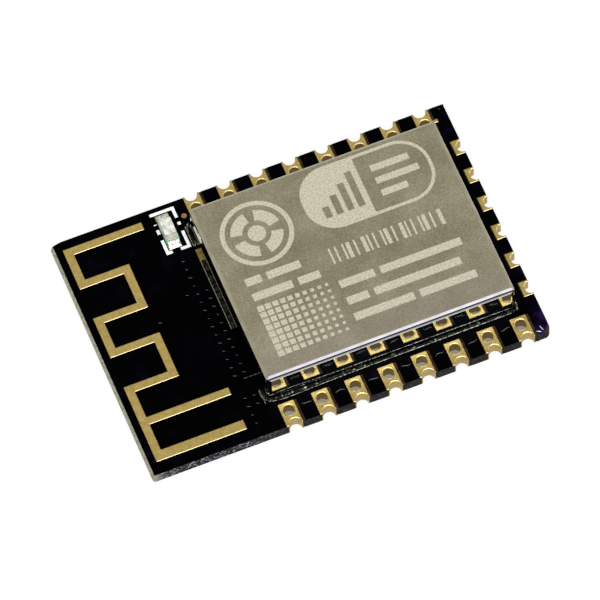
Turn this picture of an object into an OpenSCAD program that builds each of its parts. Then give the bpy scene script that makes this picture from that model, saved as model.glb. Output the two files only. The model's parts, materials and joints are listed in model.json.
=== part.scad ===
// Surface-mount wireless module: a small black circuit board with plated half
// holes along three edges, a printed meander antenna on its bare end, an
// indicator lamp, and a drawn metal shield soldered over the radio parts.
//
// Frame: origin at the middle of the underside, +X towards the short row of
// pads, -X towards the antenna, +Y towards the rear row, +Z up. Millimetres.

/* [Board] */
// Length of the board, from the antenna end to the short row of pads
board_l = 24; // [23.5:0.05:26]
// Width of the board, across the two long rows of pads
board_w = 16; // [15.6:0.1:18]
// Thickness of the glass-epoxy core
core_t = 0.7; // [0.5:0.05:1.5]
// Thickness of the black solder mask on each face
mask_t = 0.03; // [0.02:0.005:0.04]
// Thickness of the copper and gold of every land and trace
copper_t = 0.05; // [0.045:0.005:0.08]
// How far the scored antenna end is bevelled back, seen from above
score_run = 0.13; // [0.1:0.01:0.4]
// Depth of each score, top and bottom
score_depth = 0.25; // [0.1:0.01:0.3]
// Radius of the one corner that is worn round
worn_corner_r = 0.35; // [0.1:0.05:0.5]
// Radius to which the mask has worn off that corner
mask_corner_r = 0.75; // [0.6:0.05:0.9]
// Length of the small chip off the rear corner of the antenna end
chip_l = 0.55; // [0.1:0.05:1]
// Depth of that chip
chip_d = 0.12; // [0.05:0.01:0.3]

/* [Edge pads] */
// Distance between neighbouring pads
pad_pitch = 2; // [1.8:0.05:2.1]
// Number of pads in each long row
row_count = 8; // [6:1:8]
// Number of pads in the short row across the end
end_count = 6; // [4:1:6]
// Centre of the last pad of a long row, back from the end of the board
row_end_in = 1.455; // [1.3:0.005:1.6]
// Width of a pad along the edge
pad_w = 0.96; // [0.9:0.02:1.1]
// Length of a long row's pad, in from the edge
pad_l = 1.48; // [1.4:0.02:1.5]
// Length of an end pad, in from the edge
end_pad_l = 0.58; // [0.52:0.02:0.7]
// Radius of a plated through hole, inside its plating
hole_r = 0.36; // [0.3:0.01:0.38]
// Centre of a through hole, in from the edge
hole_in = 0.94; // [0.9:0.01:0.98]
// Radius of a half hole in the edge, inside its plating
notch_r = 0.37; // [0.3:0.01:0.4]
// Drilling error of the front row's half holes, along the row
front_notch_shift = 0.05; // [0:0.01:0.06]
// Thickness of the plating in holes and half holes
plating_t = 0.05; // [0.03:0.01:0.06]
// Width of the rounded lip at the mouth of every plated hole
lip = 0.04; // [0.01:0.01:0.04]
// How far the mask openings miss the pads on their +X side
mask_miss = 0.16; // [0.05:0.01:0.2]
// Length of the short bare trace that leaves the last rear pad
stub_l = 0.31; // [0.2:0.01:0.5]

/* [Antenna] */
// Width of the antenna trace
trace_w = 0.49; // [0.3:0.01:0.55]
// Outer edge of the antenna, in from the end of the board
antenna_in = 0.56; // [0.4:0.01:0.8]
// Centre of the first bar, in from the rear edge
first_bar_in = 0.83; // [0.6:0.01:1]
// Length of the first, open bar
first_bar_l = 4.75; // [3.5:0.05:5]
// Length of the folded bars
fold_l = 3.14; // [2.5:0.02:3.6]
// Step between two bars that join beside the board's end
outer_step = 2.25; // [2:0.01:2.3]
// Step between two bars that join on the shield's side
inner_step = 2.53; // [2.2:0.01:2.6]
// Length of the two legs that run to the radio
leg_l = 5.4; // [4.5:0.05:5.5]
// Width of the last leg, which goes to ground
ground_leg_w = 0.62; // [0.4:0.01:0.8]

/* [Shield] */
// Length of the shield can, along the board
can_l = 15; // [14.6:0.1:15.2]
// Width of the shield can
can_w = 12; // [11.6:0.1:12.4]
// Height of the shield can above its land
can_h = 2.2; // [2.1:0.05:2.6]
// Thickness of its sheet
sheet_t = 0.2; // [0.1:0.01:0.2]
// Outside radius of its drawn edges and corners
bend_r = 0.3; // [0.25:0.01:0.5]
// Gap between the can and the end of the board with the short row
can_in = 1.3; // [1.2:0.05:1.5]
// Reach of the shield's land outside the can
land_out = 0.18; // [0.18:0.01:0.2]
// Reach of the solder fillet outside the can
fillet_w = 0.17; // [0.1:0.01:0.18]
// Height of the solder fillet on the can's walls
fillet_h = 0.2; // [0.1:0.01:0.4]

/* [Indicator lamp] */
// Length of the lamp, across the board
lamp_l = 1.6; // [1.4:0.05:1.8]
// Width of the lamp
lamp_w = 0.8; // [0.7:0.05:0.9]
// Height of the lamp's resin base
lamp_base_h = 0.2; // [0.15:0.01:0.3]
// Height of its clear lens above the base
lens_h = 0.36; // [0.2:0.01:0.5]
// Length of the lens
lens_l = 1.1; // [0.8:0.05:1.1]
// Width of the white printed line round the lamp
ink_w = 0.18; // [0.1:0.01:0.2]

/* [Parts under the shield] */
// Side of the square radio chip
chip_w = 5; // [4:0.5:5]
// Height of the radio chip's body
chip_h = 0.8; // [0.6:0.05:1]
// Length of the flash memory's body
flash_l = 4.9; // [4.7:0.1:5]
// Width of the flash memory's body
flash_w = 3.9; // [3.7:0.1:4]
// Height of the flash memory's body
flash_h = 1.45; // [1:0.05:1.5]
// Span of the flash memory across its leads
flash_span = 6; // [5.6:0.1:6.2]
// Length of the crystal
crystal_l = 3.2; // [2.8:0.1:3.4]
// Width of the crystal
crystal_w = 2.5; // [2:0.1:2.6]
// Length of a chip capacitor, resistor or inductor
small_l = 1; // [0.9:0.05:1.1]
// Width of a chip capacitor, resistor or inductor
small_w = 0.5; // [0.4:0.05:0.55]

/* [Hidden] */
$fn = 16;
eps = 0.01;

// levels, counted from the surface that the module stands on
z_core = copper_t;                  // underside of the core
z_top = z_core + core_t;            // top of the core
z_land = z_top + copper_t;          // top of every land: where parts are soldered
x_end = board_l / 2;
y_edge = board_w / 2;

// edge pads: a pad is drawn with the board's edge on the X axis and the board at +Y
row_x = [for (i = [0:row_count - 1]) x_end - row_end_in - pad_pitch * (row_count - 1 - i)];
end_y = [for (i = [0:end_count - 1]) pad_pitch * ((end_count - 1) / 2 - i)];

// antenna: centre heights of the five folded bars and of the two legs
x_antenna = -x_end + antenna_in;
bar_y = [for (i = [0:5]) y_edge - first_bar_in
         - outer_step * ceil(i / 2) - inner_step * floor(i / 2)];
ground_leg_y = bar_y[5] - outer_step - 0.05;

// shield can
can_x = x_end - can_in - can_l / 2;
can_left = can_x - can_l / 2;
layout_x = can_x - 3.125;           // parts on the board are placed from this line

// plugged vias that tie the ground of both faces together beside the antenna
via_r = 0.15;
via_step = 0.57;
via_places = [
  for (i = [0:14]) [layout_x - 5.5, 4.12 - via_step * i],
  for (i = [0:10]) [layout_x - 4.93, 1.89 - via_step * i],
  for (i = [0:3]) [layout_x - 5.5, -5.4 - via_step * i],
  for (i = [0:1]) [layout_x - 4.95, -5.4 - via_step * i]
];

// short bare trace at the last rear pad, and the small round land before the first one
stub_w = 0.2;
stub_in = 0.8;                      // lower edge of the stub to the board's edge
test_land_r = 0.16;
test_land_at = [row_x[0] - 0.83, y_edge - 1.13];

// shield's land: how far it goes on under the can, and where it shows beside the left wall
land_in = 0.6;
tab_w = 0.22;
tabs = [[-can_w / 2 - land_out, -5.3], [-1, 4.55], [4.8, can_w / 2 + land_out]];

// indicator lamp
lamp_x = layout_x - 5.55;
lamp_y = 6.27;
lamp_land_l = 0.62;
lamp_land_at = 0.86;                // centre of a lamp land from the lamp's centre
terminal_l = 0.24;                  // reach of a terminal over the base
terminal_t = 0.02;
terminal_w = lamp_w - 0.14;
lens_draft = 0.06;                  // how far the lens's sides lean in
lamp_toe_l = 0.36;

// printed frame round the lamp, and the printed stretches of its two broken sides
ink_t = 0.02;
frame_w = 1.48;
frame_l = 2.84;
frame_x = lamp_x + 0.105;
frame_left = [[0, 1], [1.42, 1.72], [2.05, 2.1]];
frame_right = [[0, 1.15], [1.58, 1.78], [2.08, 2.7]];
frame_gap = [0.38, 0.88];           // the gap in its front side

// parts under the shield: middle of each, and turn of the small ones
chip_at = [layout_x - 0.6, -1.7];
flash_at = [layout_x + 6.7, -1.1];
crystal_at = [layout_x + 0.3, 3.7];
contact_t = 0.05;
contact_l = 0.4;
contact_w = 0.24;
centre_contact = 3.2;
chip_contacts_side = 8;
chip_contact_pitch = 0.5;
flash_stand_off = 0.15;
lead_pitch = 1.27;
lead_w = 0.4;
lead_t = 0.2;
lead_foot = 0.7;                    // foot of a lead, to the start of its slope
crystal_base_h = 0.45;
crystal_lid_h = 0.2;
crystal_rim = 0.15;
cap_size = [0.5, 0.25];             // height and length of one end of each small part
resistor_size = [0.35, 0.2];
inductor_size = [0.5, 0.22];
cap_places = [[-3.3, 2.9, 90], [-3.3, 4.5, 90], [2.9, 4.6, 90], [2.9, 2.9, 90], [3.3, -4.9, 0],
              [4.9, -4.9, 0], [-3, -5.1, 0], [5.2, 4.9, 0], [6.9, 4.9, 0]];
resistor_places = [[4.6, 3.4, 0], [6.3, 3.4, 0], [8, 3.4, 0], [8.6, 4.9, 0]];
inductor_places = [[-1.3, -5.1, 0], [0.4, -5.1, 0]];

GOLD = "#b89a5a";
TIN = "#c9cbc8";

// ---- shared forms ----

// A block standing on height z, centred on [x, y]
module block(at, z, size) {
  translate([at[0] - size[0] / 2, at[1] - size[1] / 2, z]) cube(size);
}

// Everything drawn for the front edge, carried to each pad of the front row
module at_front(i) { translate([row_x[i], -y_edge, 0]) children(); }

// The same for the rear row, mirrored across the board
module at_rear(i) { translate([row_x[i], y_edge, 0]) mirror([0, 1, 0]) children(); }

// The same for the short row, turned so that its edge is the board's +X end
module at_end(i) { translate([x_end, end_y[i], 0]) rotate(90) children(); }

// Children at every pad of the three rows: front, rear and end
module at_rows() {
  for (i = [0:row_count - 1]) { at_front(i) children(0); at_rear(i) children(1); }
  for (i = [0:end_count - 1]) at_end(i) children(2);
}

// Outline of the core or of a mask, with the corner worn to radius r and the other one chipped
module board_outline(score_in, r) {
  left = -x_end + score_in;
  difference() {
    translate([left, -y_edge]) square([x_end - left, board_w]);
    translate([x_end - r, -y_edge]) difference() {
      translate([0, -eps]) square(r + eps);
      translate([0, r]) circle(r);
    }
    polygon([[left - eps, y_edge - chip_d], [left + chip_l, y_edge + eps],
             [left - eps, y_edge + eps]]);
  }
}

// ---- glass-epoxy core ----

// Drilled and milled hollows of one pad, in the pad's own place
module pad_hollow(shift, drilled) {
  translate([shift, 0, 0]) cylinder(r = notch_r + plating_t, h = z_land);
  if (drilled) translate([0, hole_in, 0]) cylinder(r = hole_r + plating_t, h = z_land);
}

// Halves of the score along the antenna end: two bevels that leave a web between them
module score_bevels() {
  for (z = [0, 1])
    translate([-x_end, -y_edge - 1, z ? z_top : z_core]) mirror([0, 0, z ? 0 : 1])
      rotate([-90, 0, 0]) linear_extrude(board_w + 2)
        polygon([[-eps, -eps], [score_run, -eps], [score_run, 0], [0, score_depth],
                 [-eps, score_depth]]);
}

module substrate() {
  color("#3a3a34") difference() {
    translate([0, 0, z_core]) linear_extrude(core_t) board_outline(0, worn_corner_r);
    score_bevels();
    at_rows() {
      pad_hollow(front_notch_shift, true);
      pad_hollow(0, true);
      pad_hollow(0, false);
    }
    translate([0, 0, -eps]) via_rods(z_land);
  }
}

module via_rods(h) {
  for (p = via_places) translate([p[0], p[1], 0]) cylinder(r = via_r, h = h);
}

module vias() { color("#b87a4a") translate([0, 0, z_core]) via_rods(core_t); }

// ---- plated edge pads ----

// Round plated wall through the board, with lands of the given plan on both faces
module plated_pad(length, shift, drilled) {
  color(GOLD) difference() {
    union() {
      for (z = [0, z_top]) translate([-pad_w / 2, 0, z]) cube([pad_w, length, copper_t]);
      translate([shift, 0, 0]) cylinder(r = notch_r + plating_t, h = z_land);
      if (drilled) translate([0, hole_in, 0]) cylinder(r = hole_r + plating_t, h = z_land);
    }
    translate([shift, 0, 0]) lipped_hole(notch_r);
    if (drilled) translate([0, hole_in, 0]) lipped_hole(hole_r);
    translate([-pad_w, -pad_w, -eps]) cube([2 * pad_w, pad_w, z_land + 2 * eps]);
  }
}

// A through hole whose two mouths flare by the width of the lip
module lipped_hole(r) {
  translate([0, 0, -1]) cylinder(r = r, h = z_land + 2);
  translate([0, 0, z_land - lip]) cylinder(r1 = r, r2 = r + 2 * lip, h = 2 * lip);
  translate([0, 0, -lip]) cylinder(r1 = r + 2 * lip, r2 = r, h = 2 * lip);
}

// Plan of the trace that leaves the last rear pad towards the board's end
module stub_plan() {
  translate([row_x[row_count - 1] + pad_w / 2, y_edge - stub_in - stub_w]) square([stub_l, stub_w]);
}

module front_pad(i) { at_front(i) plated_pad(pad_l, front_notch_shift, true); }

module rear_pad(i) {
  at_rear(i) plated_pad(pad_l, 0, true);
  if (i == row_count - 1) color(GOLD) translate([0, 0, z_top]) linear_extrude(copper_t) stub_plan();
}

module end_pad(i) { at_end(i) plated_pad(end_pad_l, 0, false); }

module test_land_plan() { translate(test_land_at) circle(test_land_r); }

module test_land() {
  color(GOLD) translate([0, 0, z_top]) linear_extrude(copper_t) test_land_plan();
}

// ---- antenna ----

// One straight stretch of trace from its left end, centred on height y
module bar(x, y, length, width) { translate([x, y - width / 2]) square([length, width]); }

// Upright stretch that joins two bars, from the lower edge of one to the other's upper edge
module joint(x, y_low, y_high) {
  translate([x, y_low - trace_w / 2]) square([trace_w, y_high - y_low + trace_w]);
}

module antenna_plan() {
  bar(x_antenna, bar_y[0], first_bar_l, trace_w);
  for (i = [1:4]) bar(x_antenna, bar_y[i], fold_l, trace_w);
  bar(x_antenna, bar_y[5], leg_l, trace_w);
  bar(x_antenna, ground_leg_y, leg_l, ground_leg_w);
  for (i = [0, 2]) joint(x_antenna, bar_y[i + 1], bar_y[i]);
  for (i = [1, 3]) joint(x_antenna + fold_l - trace_w, bar_y[i + 1], bar_y[i]);
  joint(x_antenna, ground_leg_y, bar_y[4]);
}

module antenna_trace() {
  color(GOLD) translate([0, 0, z_top]) linear_extrude(copper_t) antenna_plan();
}

// ---- solder mask and printed ink ----

// Mask opening of one pad: it misses the pad by mask_miss on the far side
module pad_opening(length, left, right) {
  translate([-pad_w / 2 - left, -1]) square([pad_w + left + right, length + 1]);
}

module pad_openings() {
  at_rows() {
    pad_opening(pad_l, 0, mask_miss);
    pad_opening(pad_l, 0, mask_miss);
    pad_opening(end_pad_l + 0.05, 0.02, 0.07);
  }
}

module solder_mask_top() {
  color("#0b0b10") translate([0, 0, z_top]) linear_extrude(mask_t) difference() {
    board_outline(score_run, mask_corner_r);
    pad_openings();
    stub_plan();
    test_land_plan();
    antenna_plan();
    land_ring_plan();
    lamp_land_plan();
    inner_land_plan();
  }
}

module solder_mask_bottom() {
  color("#0b0b10") translate([0, 0, z_core - mask_t]) linear_extrude(mask_t) difference() {
    board_outline(score_run, mask_corner_r);
    pad_openings();
  }
}

// Printed stretches of one side of the lamp's frame, from y up, at x
module ink_side(x, y, stretches) {
  for (s = stretches) translate([x, y + s[0]]) square([ink_w, s[1] - s[0]]);
}

module printed_frame() {
  x = frame_x - frame_w / 2;
  y = lamp_y - frame_l / 2;
  color("white") translate([0, 0, z_top + mask_t]) linear_extrude(ink_t) {
    ink_side(x, y, frame_left);
    ink_side(x + frame_w - ink_w, y, frame_right);
    translate([x, y + frame_l - ink_w]) square([frame_w, ink_w]);
    translate([x, y]) square([frame_gap[0], ink_w]);
    translate([x + frame_gap[1], y]) square([frame_w - frame_gap[1], ink_w]);
  }
}

// ---- shield ----

// Land that the shield's wall stands on. Beside the left wall it shows only in tabs
module land_ring_plan() {
  difference() {
    translate([can_left, -can_w / 2 - land_out]) square([can_l + land_out, can_w + 2 * land_out]);
    translate([can_left + land_in, -can_w / 2 + land_in])
      square([can_l - 2 * land_in, can_w - 2 * land_in]);
  }
  for (t = tabs) translate([can_left - tab_w, t[0]]) square([tab_w, t[1] - t[0]]);
}

module shield_land() {
  color(GOLD) translate([0, 0, z_top]) linear_extrude(copper_t) land_ring_plan();
}

// Corner points of a rectangle a by b, each rounded to radius r by an arc of steps
function rounded(a, b, r, steps = 6) = [
  for (c = [[1, 1, 0], [-1, 1, 90], [-1, -1, 180], [1, -1, 270]])
    for (s = [0:steps])
      [c[0] * (a / 2 - r) + r * cos(c[2] + 90 * s / steps),
       c[1] * (b / 2 - r) + r * sin(c[2] + 90 * s / steps)]
];

// Block with rounded corners in plan and rounded top edges, standing on z = 0
module drawn_block(a, b, h, r) {
  intersection() {
    linear_extrude(h) polygon(rounded(a, b, r));
    translate([0, b, 0]) rotate([90, 0, 0]) linear_extrude(2 * b)
      polygon(rounded(a, 2 * h, r));
    translate([-a, 0, 0]) rotate([90, 0, 90]) linear_extrude(2 * a) polygon(rounded(b, 2 * h, r));
  }
}

module shield_can() {
  color("#968c76") translate([can_x, 0, z_land]) difference() {
    drawn_block(can_l, can_w, can_h, bend_r);
    translate([0, 0, -eps])
      drawn_block(can_l - 2 * sheet_t, can_w - 2 * sheet_t, can_h - sheet_t + eps,
                  bend_r - sheet_t / 2);
  }
}

// Hollow curve of a solder fillet, from its toe up to the wall, with the wall at x
function fillet_profile(x, steps = 4) = [
  [x, 0],
  for (s = [0:steps]) [x + fillet_w * (1 - sin(90 * s / steps)),
                       fillet_h * (1 - cos(90 * s / steps))]
];

// Fillet along a wall that faces -Y, from x = 0 to the given length
module fillet_run(length) {
  rotate([90, 0, 90]) linear_extrude(length) mirror([1, 0]) polygon(fillet_profile(0));
}

// Fillet round a corner of the can that points to +X, +Y
module fillet_corner() { rotate_extrude(angle = 90) polygon(fillet_profile(bend_r)); }

// Fillet along the front, right and rear walls, and beside the left one on its end tabs
module shield_solder() {
  a = can_l / 2;
  b = can_w / 2;
  color(TIN) translate([can_x, 0, z_land]) {
    for (turn = [0, 180]) rotate(turn) translate([-a + bend_r, -b, 0]) fillet_run(can_l - 2 * bend_r);
    translate([a, -b + bend_r, 0]) rotate(90) fillet_run(can_w - 2 * bend_r);
    translate([-a, tabs[0][1], 0]) rotate(-90) fillet_run(tabs[0][1] + b - bend_r);
    translate([-a, b - bend_r, 0]) rotate(-90) fillet_run(b - bend_r - tabs[2][0]);
    for (c = [[1, 1, 0], [-1, 1, 90], [-1, -1, 180], [1, -1, 270]])
      translate([c[0] * (a - bend_r), c[1] * (b - bend_r), 0]) rotate(c[2]) fillet_corner();
  }
}

// ---- indicator lamp ----

module lamp_land_plan() {
  for (s = [-1, 1])
    translate([lamp_x - lamp_w / 2, lamp_y + s * lamp_land_at - lamp_land_l / 2])
      square([lamp_w, lamp_land_l]);
}

module lamp_lands() {
  color(GOLD) translate([0, 0, z_top]) linear_extrude(copper_t) lamp_land_plan();
}

// An outline in Y and Z, drawn for the rear end of the lamp, carried to both of its ends
module at_lamp_ends(width) {
  for (s = [0, 1])
    translate([lamp_x - width / 2, lamp_y, z_land]) mirror([0, s, 0])
      rotate([90, 0, 90]) linear_extrude(width) children();
}

module lamp_base() {
  color("#3f8f7f")
    block([lamp_x, lamp_y], z_land, [lamp_w, lamp_l - 2 * terminal_t, lamp_base_h]);
}

// Thin metal that wraps each end of the base and reaches over its top
module lamp_terminals() {
  end = lamp_l / 2;
  top = lamp_base_h + terminal_t;
  color("#d8cfa8") at_lamp_ends(terminal_w)
    polygon([[end, 0], [end, top], [end - terminal_l, top], [end - terminal_l, lamp_base_h],
             [end - terminal_t, lamp_base_h], [end - terminal_t, 0]]);
}

module lamp_lens() {
  color("#e8ebe6", 0.8) translate([lamp_x, lamp_y, z_land + lamp_base_h]) intersection() {
    translate([-lamp_w / 2, 0, 0]) rotate([90, 0, 90]) linear_extrude(lamp_w) lens_side(lens_l);
    translate([0, lens_l / 2, 0]) rotate([90, 0, 0]) linear_extrude(lens_l) lens_side(lamp_w);
  }
}

// Side of the lens: its flanks lean in towards the top
module lens_side(length) {
  top = length / 2 - lens_draft;
  polygon([[-length / 2, 0], [length / 2, 0], [top, lens_h], [-top, lens_h]]);
}

module lamp_solder() {
  end = lamp_l / 2;
  color(TIN) at_lamp_ends(terminal_w)
    polygon([[end, 0], [end + lamp_toe_l, 0], [end + 0.8 * lamp_toe_l, 0.3 * lamp_base_h],
             [end + 0.3 * lamp_toe_l, 0.75 * lamp_base_h], [end, lamp_base_h]]);
}

// ---- parts under the shield ----

// Children at both ends of a small part whose middle and turn are given
module at_ends(place, offset) {
  translate([layout_x + place[0], place[1]]) rotate(place[2])
    for (s = [-1, 1]) translate([s * offset, 0]) children();
}

module inner_land_plan() {
  for (p = concat(cap_places, resistor_places, inductor_places))
    at_ends(p, small_l / 2 - 0.05) square([0.5, small_w], center = true);
  translate(crystal_at) for (x = [-1, 1], y = [-1, 1])
    translate([x * 1.1, y * 0.85]) square([1.2, 1], center = true);
  translate(flash_at) for (i = [0:3], s = [-1, 1])
    translate([s * (flash_span / 2 - 0.3), lead_pitch * (i - 1.5)])
      square([0.9, lead_w + 0.1], center = true);
  translate(chip_at) chip_contact_plan(0.05);
}

// Square centre contact and a row of eight on each side of the radio chip
module chip_contact_plan(grow) {
  square(centre_contact + 2 * grow, center = true);
  for (side = [0:3], i = [0:chip_contacts_side - 1])
    rotate(90 * side)
      translate([chip_contact_pitch * (i - (chip_contacts_side - 1) / 2),
                 (chip_w - contact_l) / 2])
        square([contact_w + 2 * grow, contact_l + 2 * grow], center = true);
}

module inner_lands() {
  color(GOLD) translate([0, 0, z_top]) linear_extrude(copper_t) inner_land_plan();
}

module radio_contacts() {
  color(TIN) translate([chip_at[0], chip_at[1], z_land]) linear_extrude(contact_t)
    chip_contact_plan(0);
}

// A moulded chip body with the round dimple that marks its first contact
module chip_body(at, z, size, dimple_r) {
  color("#1a1a1c") difference() {
    block(at, z, size);
    translate([at[0] - size[0] / 2 + 2 * dimple_r, at[1] + size[1] / 2 - 2 * dimple_r,
               z + size[2] - contact_t])
      cylinder(r = dimple_r, h = 1);
  }
}

module radio_chip() { chip_body(chip_at, z_land + contact_t, [chip_w, chip_w, chip_h], 0.25); }

module flash_memory() {
  chip_body(flash_at, z_land + flash_stand_off, [flash_w, flash_l, flash_h], 0.3);
}

// One bent lead: foot on the land, slope up, and shoulder that enters the body
module gull_lead() {
  out = flash_span / 2;
  knee = flash_stand_off + flash_h / 2;
  slope = 0.1;
  rotate([90, 0, 0]) translate([0, 0, -lead_w / 2]) linear_extrude(lead_w)
    polygon([[out, 0], [out, lead_t], [out - lead_foot + lead_t, lead_t],
             [out - lead_foot + lead_t - slope, knee + lead_t], [flash_w / 2, knee + lead_t],
             [flash_w / 2, knee], [out - lead_foot - slope, knee], [out - lead_foot, 0]]);
}

module flash_leads() {
  color(TIN) translate([flash_at[0], flash_at[1], z_land])
    for (i = [0:3], turn = [0, 180])
      rotate(turn) translate([0, lead_pitch * (i - 1.5), 0]) gull_lead();
}

module crystal_base() {
  color("#4a4540") block(crystal_at, z_land, [crystal_l, crystal_w, crystal_base_h]);
}

module crystal_lid() {
  color("#c8b98a") block(crystal_at, z_land + crystal_base_h,
                         [crystal_l - 2 * crystal_rim, crystal_w - 2 * crystal_rim, crystal_lid_h]);
}

// Middle part of the small components at the given places; size is their height and end length
module small_bodies(places, size) {
  for (p = places) translate([layout_x + p[0], p[1], z_land]) rotate(p[2])
    block([0, 0], 0, [small_l - 2 * size[1], small_w, size[0]]);
}

// Tinned ends of the same components
module small_ends(places, size) {
  color(TIN) for (p = places) translate([0, 0, z_land]) linear_extrude(size[0])
    at_ends(p, (small_l - size[1]) / 2) square([size[1], small_w], center = true);
}

module capacitor_bodies() { color("#8a6a48") small_bodies(cap_places, cap_size); }
module capacitor_ends() { small_ends(cap_places, cap_size); }
module resistor_bodies() { color("#222222") small_bodies(resistor_places, resistor_size); }
module resistor_ends() { small_ends(resistor_places, resistor_size); }
module inductor_bodies() { color("#5a6e78") small_bodies(inductor_places, inductor_size); }
module inductor_ends() { small_ends(inductor_places, inductor_size); }

// ---- assembly ----

substrate();
vias();
solder_mask_top();
solder_mask_bottom();
antenna_trace();
test_land();
for (i = [1:row_count]) front_pad(i - 1);
for (i = [1:row_count]) rear_pad(i - 1);
for (i = [1:end_count]) end_pad(i - 1);
printed_frame();
shield_land();
shield_can();
shield_solder();
lamp_lands();
lamp_base();
lamp_terminals();
lamp_lens();
lamp_solder();
inner_lands();
radio_chip();
radio_contacts();
flash_memory();
flash_leads();
crystal_base();
crystal_lid();
capacitor_bodies();
capacitor_ends();
resistor_bodies();
resistor_ends();
inductor_bodies();
inductor_ends();
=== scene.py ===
import json
import math

import bpy
import numpy as np
from mathutils import Matrix, Vector


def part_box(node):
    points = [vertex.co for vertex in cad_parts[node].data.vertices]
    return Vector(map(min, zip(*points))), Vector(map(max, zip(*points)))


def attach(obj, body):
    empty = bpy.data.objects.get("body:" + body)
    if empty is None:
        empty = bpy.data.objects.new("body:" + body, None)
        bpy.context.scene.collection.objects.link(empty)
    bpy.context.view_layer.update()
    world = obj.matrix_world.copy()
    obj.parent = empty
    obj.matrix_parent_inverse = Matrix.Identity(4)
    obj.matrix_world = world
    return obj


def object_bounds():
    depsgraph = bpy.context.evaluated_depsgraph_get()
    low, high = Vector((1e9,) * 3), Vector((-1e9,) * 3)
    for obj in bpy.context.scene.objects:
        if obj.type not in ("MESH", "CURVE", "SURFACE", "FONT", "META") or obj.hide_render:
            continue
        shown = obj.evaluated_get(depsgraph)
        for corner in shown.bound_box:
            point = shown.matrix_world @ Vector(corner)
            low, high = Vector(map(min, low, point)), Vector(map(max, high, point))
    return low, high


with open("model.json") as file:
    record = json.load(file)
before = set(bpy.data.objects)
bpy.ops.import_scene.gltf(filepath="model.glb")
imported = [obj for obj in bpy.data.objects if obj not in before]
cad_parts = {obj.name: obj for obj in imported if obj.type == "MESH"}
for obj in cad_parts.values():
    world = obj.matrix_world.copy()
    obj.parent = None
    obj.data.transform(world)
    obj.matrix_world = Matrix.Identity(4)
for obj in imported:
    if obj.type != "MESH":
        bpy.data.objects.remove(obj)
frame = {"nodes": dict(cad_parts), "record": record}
cad_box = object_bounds()


# ---- View ----
# A long lens from the antenna end's side, high above the board, turned a little about its axis.
# Angles are in radians and lengths in millimetres; the shift sets the board a little high.
MM = 0.001
AZIMUTH, ELEVATION, ROLL = -0.321981766, 1.05515725, -0.0672698457
DISTANCE, AIM = 412.24, Vector((0.075, 0, 0.8))
LENS, SENSOR, SHIFT_X, SHIFT_Y = 439.67, 36, -0.00103, -0.0216
NEAREST = 10

back = Vector((math.sin(AZIMUTH) * math.cos(ELEVATION), -math.cos(AZIMUTH) * math.cos(ELEVATION),
               math.sin(ELEVATION)))
right = (-back).cross(Vector((0, 0, 1))).normalized()
up = right.cross(-back)
view_x = right * math.cos(ROLL) + up * math.sin(ROLL)
view_y = up * math.cos(ROLL) - right * math.sin(ROLL)
camera = bpy.data.objects.new("camera", bpy.data.cameras.new("camera"))
camera.matrix_world = Matrix.Translation((AIM + back * DISTANCE) * MM) @ Matrix(
    (view_x, view_y, back)).transposed().to_4x4()
camera.data.lens = LENS
camera.data.sensor_width = SENSOR
camera.data.shift_x = SHIFT_X
camera.data.shift_y = SHIFT_Y
camera.data.clip_start = NEAREST * MM
bpy.context.scene.collection.objects.link(camera)
bpy.context.scene.camera = camera
bpy.context.scene.view_settings.view_transform = "Standard"


# ---- Table top and light ----
# The module lies on a white sheet in a light tent: pale walls all round, brightest in front, so
# that every bend that faces the front edge takes a white line, over the tent's dark opening.
def linear(code):
    """An sRGB hex colour as linear RGBA: each channel over 255, then the sRGB curve undone."""
    c = np.array([int(code[i:i + 2], 16) for i in (1, 3, 5)]) / 255
    return (*np.where(c < 0.04045, c / 12.92, ((c + 0.055) / 1.055) ** 2.4), 1.0)


def add(tree, kind, links=None, stops=(), **settings):
    """Adds one node. links gives an input, by name or number, a value, a socket or a node, whose
    first output in use is meant; stops are the places and hex colours of a colour ramp."""
    node = tree.nodes.new(kind)
    for name, value in settings.items():
        setattr(node, name, value)
    for name, value in (links or {}).items():
        if isinstance(value, bpy.types.Node):
            value = next(socket for socket in value.outputs if socket.enabled)
        if isinstance(value, bpy.types.NodeSocket):
            tree.links.new(value, node.inputs[name])
        else:
            node.inputs[name].default_value = value
    for i, (place, code) in enumerate(stops):
        if i > 1:
            node.color_ramp.elements.new(place)
        node.color_ramp.elements[i].position = place
        node.color_ramp.elements[i].color = linear(code)
    return node


# The sheet lies a hair below the board, so that no two faces share a plane. Under the board it
# takes a painted shade, a greyer colour and a dimmer glow, which shows through the pin holes and
# stops short of the board's edge.
SHEET_SIZE, SHEET_DROP, COVERED_IN = 600, 0.01, 0.5
# How far the sheet shows at its own white, to the eye and in reflections, and not as lit.
OWN_WHITE = 0.85
sheet_mesh = bpy.data.meshes.new("table_sheet")
corners = np.array([[-1, -1, 0], [1, -1, 0], [1, 1, 0], [-1, 1, 0]]) * SHEET_SIZE * MM / 2
corners[:, 2] = -SHEET_DROP * MM
sheet_mesh.from_pydata(corners.tolist(), [], [(0, 1, 2, 3)])
sheet = bpy.data.objects.new("table_sheet", sheet_mesh)
bpy.context.scene.collection.objects.link(sheet)

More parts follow.
